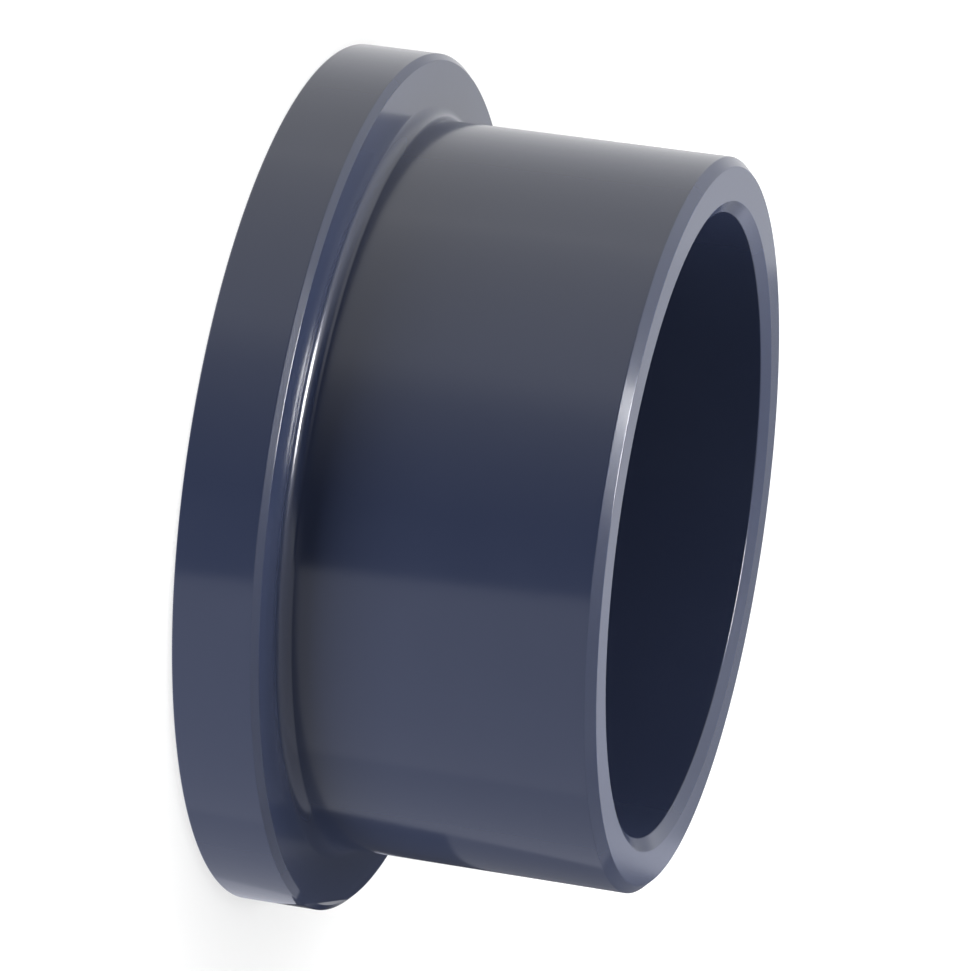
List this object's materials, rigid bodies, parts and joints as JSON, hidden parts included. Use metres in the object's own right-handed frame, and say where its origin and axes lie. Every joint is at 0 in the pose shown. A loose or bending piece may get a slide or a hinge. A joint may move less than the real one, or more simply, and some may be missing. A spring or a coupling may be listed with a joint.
{
  "type": "lap joint stub end",
  "caption": "Moulded PVC-U stub end for a lap joint: a flat collar that a loose backing ring clamps against a gasket, and a plain socket that a pipe is solvent-welded into.",
  "frame": {"origin": "centre of the collar's flat sealing face, which the part stands on", "axes": "+Z along the pipe axis, from the sealing face to the socket's open mouth; the part is round about Z, so X and Y are free"},
  "size_m": [0.125, 0.125, 0.057],
  "materials": {
    "pvc_u": "moulded, glossy dark blue-grey"
  },
  "bodies": {
    "root": {"stub_end": "pvc_u"}
  },
  "joints": []
}
